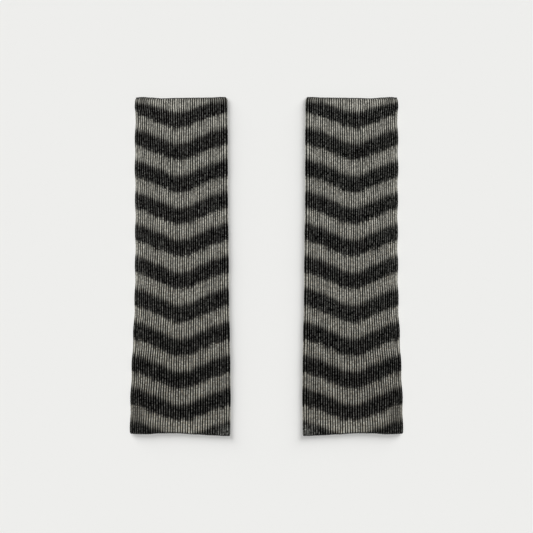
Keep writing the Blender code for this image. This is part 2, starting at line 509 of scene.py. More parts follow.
def new_tree(name, sockets):
    """A geometry tree with one geometry input, named inputs and one geometry output."""
    tree = bpy.data.node_groups.new(name, "GeometryNodeTree")
    tree.interface.new_socket("Geometry", in_out="INPUT", socket_type="NodeSocketGeometry")
    for label, kind in sockets:
        tree.interface.new_socket(label, in_out="INPUT", socket_type=kind)
    tree.interface.new_socket("Geometry", in_out="OUTPUT", socket_type="NodeSocketGeometry")
    return tree


def run_tree(base, tree, values, name):
    """The plain mesh that a tree makes of an object, on an object of its own. base is removed."""
    modifier = base.modifiers.new(tree.name, "NODES")
    modifier.node_group = tree
    for item in tree.interface.items_tree:
        if item.in_out == "INPUT" and item.name in values:
            modifier[item.identifier] = values[item.name]
    depsgraph = bpy.context.evaluated_depsgraph_get()
    data = bpy.data.meshes.new_from_object(
        base.evaluated_get(depsgraph), preserve_all_data_layers=True, depsgraph=depsgraph
    )
    data.name = name
    old = base.data
    base.modifiers.remove(modifier)
    bpy.data.objects.remove(base)
    (bpy.data.meshes if isinstance(old, bpy.types.Mesh) else bpy.data.curves).remove(old)
    return data


def linked_object(name, data):
    """An object with these data, in the scene."""
    thing = bpy.data.objects.new(name, data)
    bpy.context.scene.collection.objects.link(thing)
    return thing


def mirrored(data, name):
    """The mirror image of a mesh across the pair's middle plane, with its faces still outward."""
    twin = data.copy()
    twin.name = name
    twin.transform(Matrix.Scale(-1.0, 4, Vector((1.0, 0.0, 0.0))))
    twin.flip_normals()
    return twin


def column(rows, key):
    """One column of a table."""
    return np.array([getattr(row, key) for row in rows])


def reading(rows, key, places):
    """One column of a table whose rows run up the length, at places along it."""
    return np.interp(places, column(rows, "along"), column(rows, key))


def eased(share):
    """A share that starts and ends softly."""
    return share * share * (3 - 2 * share)


def nearness(x, along, spot):
    """1 in the middle of a spot of a table, and less the farther a place is from it."""
    away = (-x / MM - spot.across) / spot.width
    down = (along / MM - spot.along) / spot.length
    return np.exp(-away * away - down * down)


def outline(along, key):
    """One of the outline's sizes at places along the length, eased between the sections."""
    readings = [reading(SECTIONS[::-1], key, along / MM + ease) for ease in OUTLINE_EASE]
    return np.mean(readings, axis=0) * MM


def corner_inset(along, row):
    """How far a fold draws in where the mouths' corners are rounded. row is the number of the row
    of EDGE_RUNS at that fold."""
    inset = np.zeros_like(along)
    top = LENGTH / 2 - EDGE_RUNS[row].drop * MM - along
    bottom = LENGTH / 2 - EDGE_RUNS[row].rise * MM + along
    for radius, end in ((TOP_CORNER, top), (BOTTOM_CORNER, bottom)):
        over = np.clip(radius - end, 0.0, radius)
        inset = inset + radius - np.sqrt(radius**2 - over**2)
    return inset


def edge_run(across, key):
    """Eased reading of one column of EDGE_RUNS at shares of the way across."""
    spots = column(EDGE_RUNS, "across")
    heights = column(EDGE_RUNS, key)
    across = np.clip(across, 0.0, 1.0)
    after = np.clip(np.searchsorted(spots, across), 1, len(spots) - 1)
    share = (across - spots[after - 1]) / (spots[after] - spots[after - 1])
    return (heights[after - 1] + (heights[after] - heights[after - 1]) * eased(share)) * MM


def climb(share, fold_rounding):
    """How much of a stripe's rise is reached at a share of the way from the chevron's point to
    the fold: an even slope, rounded at both ends."""
    share = np.clip(share, 0.0, 1.0)
    begun = np.where(share < POINT_ROUNDING, share**2 / (2 * POINT_ROUNDING), share - POINT_ROUNDING / 2)
    over = np.maximum(share - (1 - fold_rounding), 0.0)
    return (begun - over**2 / (2 * fold_rounding)) / (1 - POINT_ROUNDING / 2 - fold_rounding / 2)


def stripe_count(x, along, outer, inner):
    """Which stripe a place is on: whole numbers are the middles of the dark ones."""
    rows = CHEVRONS[::-1]
    point = -reading(rows, "point", along / MM) * MM
    outer_share = climb((point - x) / (point - outer), OUTER_ROUNDING)
    inner_share = climb((x - point) / (inner - point), INNER_ROUNDING)
    outer_rise = reading(rows, "outer_rise", along / MM) * outer_share * MM
    inner_rise = reading(rows, "inner_rise", along / MM) * inner_share * MM
    count = reading(rows, "stripe", (along - outer_rise - inner_rise) / MM)
    near_point = np.exp(-(((x - point) / POINT_REACH) ** 2))
    count = count + POINT_NARROWING * near_point * np.sin(2 * np.pi * count)
    for spot in STRIPE_SHIFTS:
        count = count + spot.shift * nearness(x, along, spot)
    return count


def places_round(wale, sizes):
    """The stretch of the flattened ring that each column is on, and the share of it behind that
    column. Ribs are counted from the outer fold's lowest line, over the front and back beneath."""
    front = sizes.ribs_over - OUTER_FOLD_RIBS - INNER_FOLD_RIBS
    over = wale - OUTER_FOLD_RIBS
    beneath = wale - sizes.ribs_over
    choices = (beneath > 0, over < 0, over <= front)
    stretch = np.select(choices, (UNDERSIDE, OUTER_FOLD, FRONT), INNER_FOLD)
    shares = (beneath / sizes.ribs_under, wale / OUTER_FOLD_RIBS, over / front)
    share = np.select(choices, shares, (over - front) / INNER_FOLD_RIBS)
    return stretch, share


def narrowed(share, along):
    """Shares of the way across the front, with the ribs next to the folds drawn together."""
    down = np.clip(0.5 - along / LENGTH, 0.0, 1.0) ** 2
    for turned, narrowing in ((False, OUTER_NARROWING), (True, INNER_NARROWING)):
        amount = narrowing.top + (narrowing.bottom - narrowing.top) * down
        place = 1 - share if turned else share
        shift = amount * NARROWING_REACH * (1 - np.exp(-place / NARROWING_REACH)) * (1 - place)
        share = share + shift if turned else share - shift
    return share


def ring_points(stretch, share, outer, inner, low, high, fold):
    """The points of flattened rings, one for each row, and the outward directions there: x, z
    and the same two for the direction."""
    left = outer + fold
    right = inner - fold
    middle = (low + high) / 2
    half_height = (high - low) / 2
    turn = np.pi * share
    angle = np.where(stretch == OUTER_FOLD, -np.pi / 2 - turn, np.pi / 2 - turn)
    on_fold = (stretch == OUTER_FOLD) | (stretch == INNER_FOLD)
    centre = np.where(stretch == OUTER_FOLD, left, right)
    front_x = left + (right - left) * share
    under_x = right + (left - right) * share
    x = np.select((on_fold, stretch == FRONT), (centre + fold * np.cos(angle), front_x), under_x)
    z = np.select((on_fold, stretch == FRONT), (middle + half_height * np.sin(angle), high), low)
    out_x = np.where(on_fold, np.cos(angle), 0.0)
    out_z = np.select((on_fold, stretch == FRONT), (np.sin(angle), 1.0), -1.0)
    return np.broadcast_arrays(x, z, out_x, out_z)


def crease_depth(x, along):
    """How far the creases press the front layer down."""
    depth = np.zeros_like(x)
    for crease in CREASES:
        lean = math.radians(crease.lean)
        away = -x / MM - crease.across
        down = along / MM - crease.along
        beside = away * math.cos(lean) + down * math.sin(lean)
        down = down * math.cos(lean) - away * math.sin(lean)
        depth += crease.depth * np.exp(-((beside / crease.width) ** 2) - (down / crease.length) ** 2)
    return depth * MM


def wander(wale, along):
    """How far the ribs wander sideways at each row and column."""
    random = np.random.default_rng(WANDER_SEED)
    furrows = np.arange(math.floor(wale[0]), math.ceil(wale[-1]) + 1)
    offsets = np.zeros((along.shape[0], len(furrows)))
    for wave in WANDER_WAVES:
        phase = random.uniform(0, 2 * np.pi, len(furrows))
        length = wave * random.uniform(WAVE_FACTORS.low, WAVE_FACTORS.high, len(furrows))
        offsets += WANDER * np.sin(2 * np.pi * along.mean(axis=1)[:, None] / MM / length + phase)
    before = np.clip(np.floor(wale - furrows[0]).astype(int), 0, len(furrows) - 2)
    share = wale - furrows[0] - before
    return offsets[:, before] * (1 - share) + offsets[:, before + 1] * share


def wool_state(x, along, out_x, course, sizes):
    """How far the furrows are open at each place, from 0 to 1, and how pale the wool is, with
    painted light on the outer fold and painted shade on the inner fold and under the mouths' loops.
    """
    opened = np.zeros_like(x)
    tone = reading(LENGTH_TONES, "tone", along / MM)
    # Painted light on the outer fold and painted shade on the inner one, with the furrows opened
    for sideways, look in ((-out_x, PAINTED_OUTER_LIGHT), (out_x, PAINTED_INNER_SHADE)):
        side = eased(np.clip((sideways - FOLD_TURN.low) / (FOLD_TURN.high - FOLD_TURN.low), 0.0, 1.0))
        opened = opened + look.opened * side
        tone = tone * (1 + look.tone * side)
    # Painted shade under the loops at the mouths
    from_end = np.minimum(course, sizes.courses - course)[:, None]
    tone = tone * np.interp(from_end, MOUTH_ROWS, MOUTH_PAINTED_SHADE)
    for spot in TONE_SPOTS:
        amount = nearness(x, along, spot)
        opened = opened + (1 - opened) * spot.opened * amount
        tone = tone * (1 + spot.tone * amount)
    return opened, tone


def wall_grid(wale, course, sizes, inside):
    """A grid on the outside of the wall, in the furrows, or on the plain inside, with rows along
    course and columns along wale: its places, its outward directions, its stripe counts, how far
    its furrows are open and how pale its wool is."""
    stretch, share = places_round(wale, sizes)
    level = (course / sizes.courses)[:, None]
    half = LENGTH / 2 - EDGE_ROW
    rough = (2 * level - 1) * half
    outer = -outline(rough, "outer")
    inner = -outline(rough, "inner")
    x = ring_points(stretch, share, outer, inner, 0.0, 1.0, FOLD_REACH)[0]
    across = (x - outer) / (inner - outer)
    top = half - edge_run(across, "drop")
    bottom = -half + edge_run(across, "rise")
    along = bottom + (top - bottom) * level

    outer = -outline(along, "outer")
    inner = -outline(along, "inner")
    edge_stripe = stripe_count(outer, along, outer, inner)
    swell = np.cos(2 * np.pi * edge_stripe)
    low = sizes.rib_depth
    high = outline(along, "height") - sizes.rib_depth
    outer_inset = sizes.rib_depth - OUTER_BULGE * swell + corner_inset(along, 0)
    inner_inset = sizes.rib_depth - INNER_BULGE * swell + corner_inset(along, -1)
    fold = FOLD_REACH
    if inside:
        outer_inset = outer_inset + FOLD_WALL
        inner_inset = inner_inset + FOLD_WALL
        fold = FOLD_REACH - FOLD_WALL
        low = UNDERSIDE_WALL
        high = UNDERSIDE_WALL + LAYER_GAP
    share = np.where(stretch == FRONT, narrowed(share, along), share)
    x, z, out_x, out_z = ring_points(
        stretch, share, outer + outer_inset, inner - inner_inset, low, high, fold
    )
    count = stripe_count(x, along, outer, inner)
    if not inside:
        x = x + wander(wale, along) * np.abs(out_z)
        z = z - crease_depth(x, along) * np.maximum(out_z, 0.0)
    points = np.stack((x, along, z), axis=-1)
    outward = np.stack((out_x, np.zeros_like(x), out_z), axis=-1)
    state = wool_state(x, along, out_x, course, sizes)
    if inside:
        return points, outward * 0.0, count, *state
    shallow = FOLD_STRETCH * np.abs(out_x)[..., None]
    points = points + outward * shallow * sizes.rib_depth
    return points, outward * (1 - shallow), count, *state


def corner_map(strip, across, up):
    """Places on the bake map from shares across it and shares of a strip's height."""
    return np.stack((across, strip.low + (strip.high - strip.low) * up), axis=-1)


def grid_faces(rows, columns, first):
    """The quads of a grid of vertices, row by row from vertex number first."""
    index = first + np.arange(rows * columns).reshape(rows, columns)
    corners = (index[:-1, :-1], index[:-1, 1:], index[1:, 1:], index[1:, :-1])
    return np.stack(corners, axis=-1).reshape(-1, 4)


def quad_shares(rows, columns):
    """The shares across and up of each corner of those quads."""
    across, up = np.meshgrid(np.linspace(0, 1, columns), np.linspace(0, 1, rows))
    shares = []
    for grid in (across, up):
        corners = (grid[:-1, :-1], grid[:-1, 1:], grid[1:, 1:], grid[1:, :-1])
        shares.append(np.stack(corners, axis=-1).reshape(-1, 4))
    return shares


def side_fan(outer_line, inner_line, turned):
    """Triangles that close the wall between its ribbed and its plain face along one cut, with
    the shares of the map that they take."""
    step = (len(outer_line) - 1) // (len(inner_line) - 1)
    faces = []
    shares = []
    for part in range(len(inner_line) - 1):
        first = part * step
        middle = first + step // 2
        for row in range(first, first + step):
            near = part if row < middle else part + 1
            faces.append((outer_line[row], outer_line[row + 1], inner_line[near]))
            shares.append(((row, 0.0), (row + 1, 0.0), (near * step, 1.0)))
        faces.append((outer_line[middle], inner_line[part + 1], inner_line[part]))
        shares.append(((middle, 0.0), ((part + 1) * step, 1.0), (part * step, 1.0)))
    faces = np.array(faces)
    shares = np.array(shares, dtype=float)
    shares[..., 0] /= len(outer_line) - 1
    if turned:
        return faces[:, ::-1], shares[:, ::-1]
    return faces, shares


def wall_faces(rows, inner_rows, columns):
    """The faces of a wall in blocks, each with its places on the bake map. The ribbed grid's
    vertices come first, row by row, and then the plain grid's."""
    outer_count = rows * columns
    outer_index = np.arange(outer_count).reshape(rows, columns)
    inner_index = outer_count + np.arange(inner_rows * columns).reshape(inner_rows, columns)
    inner_quads = grid_faces(inner_rows, columns, outer_count)
    inner_places = corner_map(INSIDE_STRIP, *quad_shares(inner_rows, columns))
    blocks = [
        (grid_faces(rows, columns, 0), corner_map(OUTSIDE_STRIP, *quad_shares(rows, columns))),
        (inner_quads[:, ::-1], inner_places[:, ::-1]),
    ]
    for end, strip in zip((0, -1), RIM_STRIPS):
        lines = (outer_index[end], inner_index[end])
        quads = np.stack((lines[0][:-1], lines[0][1:], lines[1][1:], lines[1][:-1]), axis=-1)
        places = corner_map(strip, *quad_shares(2, columns))
        if end == 0:
            quads, places = quads[:, ::-1], places[:, ::-1]
        blocks.append((quads, places))
    for end, strip in zip((0, -1), SIDE_STRIPS):
        faces, shares = side_fan(outer_index[:, end], inner_index[:, end], turned=end != 0)
        blocks.append((faces, corner_map(strip, shares[..., 0], shares[..., 1])))
    return blocks


def wall_mesh(name, first_rib, ribs, sizes):
    """One layer of the tube as a closed wall: its face in the furrows and its plain inner face.
    The columns, rows and outward directions go along for the tree that raises the ribs."""
    starts = first_rib + np.arange(ribs)
    wale = np.append((starts[:, None] + np.array(COLUMN_SHARES)).ravel(), first_rib + ribs)
    course = np.arange(sizes.courses * ROWS_PER_COURSE + 1) / ROWS_PER_COURSE
    inner_course = np.arange(0, sizes.courses + 1, COURSES_PER_INNER_ROW)
    parts = [wall_grid(wale, rows, sizes, inside) for rows, inside in ((course, False), (inner_course, True))]
    blocks = wall_faces(len(course), len(inner_course), len(wale))

    data = bpy.data.meshes.new(name)
    points = np.concatenate([part[0].reshape(-1, 3) for part in parts])
    data.from_pydata(points.tolist(), [], [face for faces, _ in blocks for face in faces.tolist()])
    places = np.concatenate([places.reshape(-1, 2) for _, places in blocks])
    data.uv_layers.new(name=BAKE_MAP).uv.foreach_set("vector", places.astype(np.float32).ravel())
    grids = [np.meshgrid(wale, rows) for rows in (course, inner_course)]
    # The stripe count, how far the furrows open, and the wool's paleness with its painted light and shade go
    # along for the material
    facts = (
        ("wale", "FLOAT", "value", np.concatenate([grid[0].ravel() for grid in grids])),
        ("course", "FLOAT", "value", np.concatenate([grid[1].ravel() for grid in grids])),
        ("stripe", "FLOAT", "value", np.concatenate([part[2].ravel() for part in parts])),
        ("opened", "FLOAT", "value", np.concatenate([part[3].ravel() for part in parts])),
        ("tone", "FLOAT", "value", np.concatenate([part[4].ravel() for part in parts])),
        ("outward", "FLOAT_VECTOR", "vector", np.concatenate([part[1].ravel() for part in parts])),
    )
    for label, kind, key, values in facts:
        made = data.attributes.new(label, kind, "POINT")
        made.data.foreach_set(key, values.astype(np.float32))
    data.shade_smooth()
    data.update()
    return data


def rib_tree():
    """Raises the ribs and their stitches. Across a rib the wall rises from the furrow to two legs
    with a groove between them, and along it each course stands up between two notches. The legs
    climb outwards from the groove, so that the courses lie in nested Vs."""
    sockets = (
        ("Rib Depth", "NodeSocketFloat"),
        ("Stitch Depth", "NodeSocketFloat"),
        ("Climb", "NodeSocketFloat"),
        ("Courses", "NodeSocketFloat"),
        ("Unevenness", "NodeSocketFloat"),
        ("Seed", "NodeSocketInt"),
        ("Material", "NodeSocketMaterial"),
    )
    tree = new_tree("Rib knit", sockets)
    given = add_node(tree, "NodeGroupInput")
    wale = add_node(tree, "GeometryNodeInputNamedAttribute", {"Name": "wale"}, data_type="FLOAT")[0]
    course = add_node(tree, "GeometryNodeInputNamedAttribute", {"Name": "course"}, data_type="FLOAT")[0]
    outward = add_node(
        tree, "GeometryNodeInputNamedAttribute", {"Name": "outward"}, data_type="FLOAT_VECTOR"
    )[0]

    across = add_node(tree, "ShaderNodeMath", {0: wale}, operation="FRACT")[0]
    profile = add_node(tree, "ShaderNodeFloatCurve", {"Value": across})[0]
    set_curve(profile, tuple(zip((*COLUMN_SHARES, 1.0), COLUMN_HEIGHTS)))
    to_groove = add_node(tree, "ShaderNodeMath", {0: across, 1: 0.5}, operation="PINGPONG")[0]

    wave = course_wave(tree, course)
    notch = add_node(tree, "ShaderNodeMapRange", {"Value": wave, **span("From", WAVE)})[0]
    dip = add_node(tree, "ShaderNodeMath", {0: notch, 1: given["Stitch Depth"]}, operation="MULTIPLY")[0]

    rib = add_node(tree, "ShaderNodeMath", {0: wale}, operation="FLOOR")[0]
    stitch = add_node(tree, "ShaderNodeMath", {0: course}, operation="FLOOR")[0]
    cell = add_node(tree, "ShaderNodeCombineXYZ", {0: rib, 1: stitch, 2: given["Seed"]})[0]
    chance = add_node(tree, "ShaderNodeTexWhiteNoise", {"Vector": cell}, noise_dimensions="3D")["Value"]
    spread = add_node(tree, "ShaderNodeMath", {0: chance, 1: 0.5}, operation="SUBTRACT")[0]
    spread = add_node(tree, "ShaderNodeMath", {0: spread, 1: given["Unevenness"]}, operation="MULTIPLY")[0]

    top = add_node(tree, "ShaderNodeMath", {0: given["Rib Depth"], 1: dip}, operation="SUBTRACT")[0]
    top = add_node(tree, "ShaderNodeMath", {0: top, 1: spread}, operation="ADD")[0]
    height = add_node(tree, "ShaderNodeMath", {0: top, 1: profile}, operation="MULTIPLY")[0]
    raised = add_node(tree, "ShaderNodeVectorMath", {0: outward, "Scale": height}, operation="SCALE")[0]

    from_top = add_node(tree, "ShaderNodeMath", {0: given["Courses"], 1: course}, operation="SUBTRACT")[0]
    from_end = add_node(tree, "ShaderNodeMath", {0: course, 1: from_top}, operation="MINIMUM")[0]
    free = add_node(
        tree,
        "ShaderNodeMapRange",
        {"Value": from_end, **span("From", (0.0, LEVEL_COURSES))},
        interpolation_type="SMOOTHSTEP",
    )[0]
    size = add_node(tree, "ShaderNodeVectorMath", {0: outward}, operation="LENGTH")["Value"]
    fall = to_groove
    for factor in (given["Climb"], free, size, -1.0):
        fall = add_node(tree, "ShaderNodeMath", {0: fall, 1: factor}, operation="MULTIPLY")[0]
    slid = add_node(tree, "ShaderNodeCombineXYZ", {1: fall})[0]
    offset = add_node(tree, "ShaderNodeVectorMath", {0: raised, 1: slid}, operation="ADD")[0]

    shaped = add_node(tree, "GeometryNodeSetPosition", {"Geometry": given["Geometry"], "Offset": offset})[0]
    real = add_node(tree, "GeometryNodeRealizeInstances", {0: shaped})[0]
    done = add_node(tree, "GeometryNodeSetMaterial", {"Geometry": real, "Material": given["Material"]})[0]
    add_node(tree, "NodeGroupOutput", {0: done})
    return tree


def chain_tree():
    """Sets a chain of loops along a path: each is a drop-shaped ring of yarn whose round end lies
    over the narrow end of the next one."""
    sockets = (
        ("Loops", "NodeSocketInt"),
        ("Loop Length", "NodeSocketFloat"),
        ("Loop Width", "NodeSocketFloat"),
        ("Yarn Radius", "NodeSocketFloat"),
        ("Lift", "NodeSocketFloat"),
        ("Seed", "NodeSocketInt"),
        ("Material", "NodeSocketMaterial"),
    )
    tree = new_tree("Bound-off chain", sockets)
    given = add_node(tree, "NodeGroupInput")

    # A ring that is one wide is stretched to a loop's length and width, and tilted by its lift
    ring = add_node(tree, "GeometryNodeCurvePrimitiveCircle", {"Resolution": LOOP_POINTS, "Radius": 0.5})[0]
    place = add_node(tree, "GeometryNodeInputPosition")[0]
    place = add_node(tree, "ShaderNodeSeparateXYZ", {0: place})
    long = add_node(tree, "ShaderNodeMath", {0: place[0], 1: given["Loop Length"]}, operation="MULTIPLY")[0]
    taper = add_node(
        tree,
        "ShaderNodeMapRange",
        {"Value": place[0], **span("From", (-0.5, 0.5)), **span("To", (NARROW_END, 1.0))},
    )[0]
    wide = add_node(tree, "ShaderNodeMath", {0: place[1], 1: given["Loop Width"]}, operation="MULTIPLY")[0]
    wide = add_node(tree, "ShaderNodeMath", {0: wide, 1: taper}, operation="MULTIPLY")[0]
    lift = add_node(tree, "ShaderNodeMath", {0: place[0], 1: given["Lift"]}, operation="MULTIPLY")[0]
    lift = add_node(tree, "ShaderNodeMath", {0: lift, 1: 2.0}, operation="MULTIPLY")[0]
    drop = add_node(tree, "ShaderNodeCombineXYZ", {0: long, 1: lift, 2: wide})[0]
    ring = add_node(tree, "GeometryNodeSetPosition", {"Geometry": ring, "Position": drop})[0]
    section = add_node(
        tree,
        "GeometryNodeCurvePrimitiveCircle",
        {"Resolution": YARN_SIDES, "Radius": given["Yarn Radius"]},
    )[0]
    loop = add_node(tree, "GeometryNodeCurveToMesh", {"Curve": ring, "Profile Curve": section})[0]
    loop = add_node(tree, "GeometryNodeSetShadeSmooth", {"Geometry": loop})[0]

    even = {"Curve": given["Geometry"], "Count": given["Loops"]}
    path = add_node(tree, "GeometryNodeResampleCurve", even)[0]
    tangent = add_node(tree, "GeometryNodeInputTangent")[0]
    turned = add_node(
        tree, "FunctionNodeAlignRotationToVector", {"Vector": tangent}, axis="X", pivot_axis="Y"
    )[0]
    size = add_node(
        tree,
        "FunctionNodeRandomValue",
        {0: LOOP_SCALES.low, 1: LOOP_SCALES.high, "Seed": given["Seed"]},
        data_type="FLOAT_VECTOR",
    )[0]
    chain = add_node(
        tree,
        "GeometryNodeInstanceOnPoints",
        {"Points": path, "Instance": loop, "Rotation": turned, "Scale": size},
    )[0]
    real = add_node(tree, "GeometryNodeRealizeInstances", {0: chain})[0]
    done = add_node(tree, "GeometryNodeSetMaterial", {"Geometry": real, "Material": given["Material"]})[0]
    add_node(tree, "NodeGroupOutput", {0: done})
    return tree


# What the wool's nodes read at a place on the knit: its rib and its course, that rib's number,
# the share of the way across it, a chance number for the stitch, and the place itself
KnitPlace = namedtuple("KnitPlace", "wale course rib across chance point")


def new_material(name, values):
    """A material with these values on its shader, its node tree, and the shader's inputs."""
    material = bpy.data.materials.new(name)
    material.use_nodes = True
    inputs = material.node_tree.nodes["Principled BSDF"].inputs
    for label, value in values.items():
        inputs[label].default_value = value
    return material, material.node_tree, inputs


def knit_place(tree):
    """The outputs that tell where on the knit a place is."""
    wale = add_node(tree, "ShaderNodeAttribute", attribute_name="wale")["Fac"]
    course = add_node(tree, "ShaderNodeAttribute", attribute_name="course")["Fac"]
    point = add_node(tree, "ShaderNodeTexCoord")["Object"]
    rib = add_node(tree, "ShaderNodeMath", {0: wale}, operation="FLOOR")[0]
    across = add_node(tree, "ShaderNodeMath", {0: wale}, operation="FRACT")[0]
    stitch = add_node(tree, "ShaderNodeMath", {0: course}, operation="FLOOR")[0]
    cell = add_node(tree, "ShaderNodeCombineXYZ", {0: rib, 1: stitch})[0]
    chance = add_node(tree, "ShaderNodeTexWhiteNoise", {"Vector": cell}, noise_dimensions="2D")["Value"]
    return KnitPlace(wale, course, rib, across, chance, point)


def stripe_lightness(tree, knit):
    """How light the stripe is at a place, from 0 to 1. Each rib changes colour a little sooner or
    later than the next, and each stitch too."""
    stripe = add_node(tree, "ShaderNodeAttribute", attribute_name="stripe")["Fac"]
    rib_chance = add_node(tree, "ShaderNodeTexWhiteNoise", {"W": knit.rib}, noise_dimensions="1D")["Value"]
    early, sooner = (
        add_node(tree, "ShaderNodeMapRange", {"Value": chance, **span("To", CHANGE_SPREAD)})[0]
        for chance in (rib_chance, knit.chance)
    )
    shift = add_node(tree, "ShaderNodeMath", {0: early, 1: sooner}, operation="ADD")[0]
    shifted = add_node(tree, "ShaderNodeMath", {0: stripe, 1: shift}, operation="ADD")[0]
    phase = add_node(tree, "ShaderNodeMath", {0: shifted}, operation="FRACT")[0]
    lightness = add_node(tree, "ShaderNodeFloatCurve", {"Value": phase})[0]
    set_curve(lightness, STRIPE_FADE)
    return lightness


def fibre_colour(tree, knit, lightness, colours):
    """The wool's colour in full light: charcoal with paler fibres in patches, and grey with flecks
    of warm fibres, of which more show towards the lower mouth."""
    tufts = {"Vector": knit.point, "Scale": 1 / FLECK, "Detail": 2.0, "Roughness": 0.6}
    tufts = add_node(tree, "ShaderNodeTexNoise", tufts)["Fac"]
    up = add_node(tree, "ShaderNodeSeparateXYZ", {0: knit.point})[1]
    length = span("From", (-LENGTH / 2, LENGTH / 2))
    warm = add_node(tree, "ShaderNodeMapRange", {"Value": up, **length, **span("To", WARM_FIBRES)})[0]
    window = span("From", FLECK_READINGS)
    flecked = add_node(tree, "ShaderNodeMapRange", {"Value": tufts, **window, "To Max": warm})[0]
    heather = {"Vector": knit.point, "Scale": 1 / HEATHER, "Detail": 3.0, "Roughness": 0.7}
    heather = add_node(tree, "ShaderNodeTexNoise", heather)["Fac"]
    window = span("From", HEATHER_READINGS)
    mixed = add_node(tree, "ShaderNodeMapRange", {"Value": heather, **window})[0]
    fibre_sets = (
        (mixed, tuple(colours.soot), tuple(colours.charcoal)),
        (flecked, tuple(colours.grey), tuple(colours.fleck)),
    )
    dark, grey = (
        add_node(tree, "ShaderNodeMix", {"Factor": amount, 6: usual, 7: other}, data_type="RGBA")[2]
        for amount, usual, other in fibre_sets
    )
    return add_node(tree, "ShaderNodeMix", {"Factor": lightness, 6: dark, 7: grey}, data_type="RGBA")[2]


def rib_shade(tree, knit, lightness):
    """The painted shade of a place on its rib, dark in the furrows and the groove, and how light
    the whole rib is. Some ribs stand fuller than others, and where ribs are stretched, as round the
    folds, their furrows open and show, and less painted shade lies in them."""
    shades = []
    # Painted shade across the rib, for the dark and for the pale wool
    for points in (DARK_RIB_SHADE, PALE_RIB_SHADE):
        shades.append(add_node(tree, "ShaderNodeFloatCurve", {"Value": knit.across})[0])
        set_curve(shades[-1], points)
    shade = add_node(
        tree, "ShaderNodeMix", {"Factor": lightness, 2: shades[0], 3: shades[1]}, data_type="FLOAT"
    )[0]
    sideways, along = (
        add_node(tree, "ShaderNodeMath", {0: number, 1: step}, operation="MULTIPLY")[0]
        for number, step in ((knit.rib, STREAK_PER_RIB), (knit.course, STREAK_PER_COURSE))
    )
    streak_place = add_node(tree, "ShaderNodeCombineXYZ", {0: sideways, 1: along})[0]
    streaks = add_node(
        tree,
        "ShaderNodeTexNoise",
        {"Vector": streak_place, "Scale": 1.0, "Detail": 1.0},
        noise_dimensions="2D",
    )["Fac"]
    streaks = {"Value": streaks, **span("From", STREAK_READINGS)}
    rib_tone, slimness = (
        add_node(tree, "ShaderNodeMapRange", {**streaks, **span("To", factors)})[0]
        for factors in (RIB_TONES, RIB_SLIMNESS)
    )
    shade = add_node(tree, "ShaderNodeMath", {0: shade, 1: slimness}, operation="POWER")[0]
    opened = add_node(tree, "ShaderNodeAttribute", attribute_name="opened")["Fac"]
    even = add_node(tree, "ShaderNodeMapRange", {"Value": lightness, **span("To", OPENED_SHADE)})[0]
    shade = add_node(tree, "ShaderNodeMix", {"Factor": opened, 2: shade, 3: even}, data_type="FLOAT")[0]
    return shade, rib_tone


def yarn_relief(tree, knit):
    """The height of the yarn's finest relief: its two plies turn about each other, so lines cross
    each leg of a stitch at a slant, and surface hairs lie over them."""
    leg = add_node(tree, "ShaderNodeMath", {0: knit.across, 1: 0.5}, operation="PINGPONG")[0]
    twist = add_node(tree, "ShaderNodeMath", {0: leg, 1: TWIST_TURNS}, operation="MULTIPLY")[0]
    twist = add_node(tree, "ShaderNodeMath", {0: twist, 1: knit.course}, operation="ADD")[0]
    twist = add_node(tree, "ShaderNodeMath", {0: twist, 1: 2 * math.pi}, operation="MULTIPLY")[0]
    twist = add_node(tree, "ShaderNodeMath", {0: twist}, operation="SINE")[0]
    hairs = add_node(
        tree, "ShaderNodeTexNoise", {"Vector": knit.point, "Scale": 1 / HAIR, "Detail": 2.0}
    )["Fac"]
    return add_node(
        tree, "ShaderNodeMath", {0: twist, 1: TWIST_HEIGHT, 2: hairs}, operation="MULTIPLY_ADD"
    )[0]


def rib_wool(colours):
    """Spun wool in 1 by 1 rib, knitted: matt and soft, in charcoal and warm grey stripes whose
    edges fade over a few stitches, with painted shade that makes it nearly black down in the
    furrows and darker in the dips between courses, with flecks of other fibres and the twist of
    the yarn on each leg."""
    finish = {"Roughness": 0.95, "Sheen Weight": 0.002, "Sheen Roughness": 0.6, "Specular IOR Level": 0.01}
    material, tree, inputs = new_material("rib-knit wool yarn", finish)
    knit = knit_place(tree)
    lightness = stripe_lightness(tree, knit)
    wool = fibre_colour(tree, knit, lightness, colours)
    shade, rib_tone = rib_shade(tree, knit, lightness)
    wave = {"Value": course_wave(tree, knit.course), **span("From", WAVE)}
    # Painted shade: the wool is darker in the dip between two courses
    between = add_node(tree, "ShaderNodeMapRange", {**wave, **span("To", COURSE_DIP_SHADE)})[0]
    uneven = add_node(tree, "ShaderNodeMapRange", {"Value": knit.chance, **span("To", STITCH_TONES)})[0]
    # The wool's paleness along the mesh, with painted light on the outer fold and painted shade on the inner
    # fold and under the mouths' loops
    painted_light_and_tone = add_node(tree, "ShaderNodeAttribute", attribute_name="tone")["Fac"]
    tone = shade
    for factor in (between, uneven, rib_tone, painted_light_and_tone):
        tone = add_node(tree, "ShaderNodeMath", {0: tone, 1: factor}, operation="MULTIPLY")[0]
    colour = add_node(tree, "ShaderNodeVectorMath", {0: wool, "Scale": tone}, operation="SCALE")[0]
    tree.links.new(colour, inputs["Base Color"])
    relief = {"Height": yarn_relief(tree, knit), "Strength": 0.5, "Distance": FIBRE_RELIEF}
    tree.links.new(add_node(tree, "ShaderNodeBump", relief)[0], inputs["Normal"])
    return material


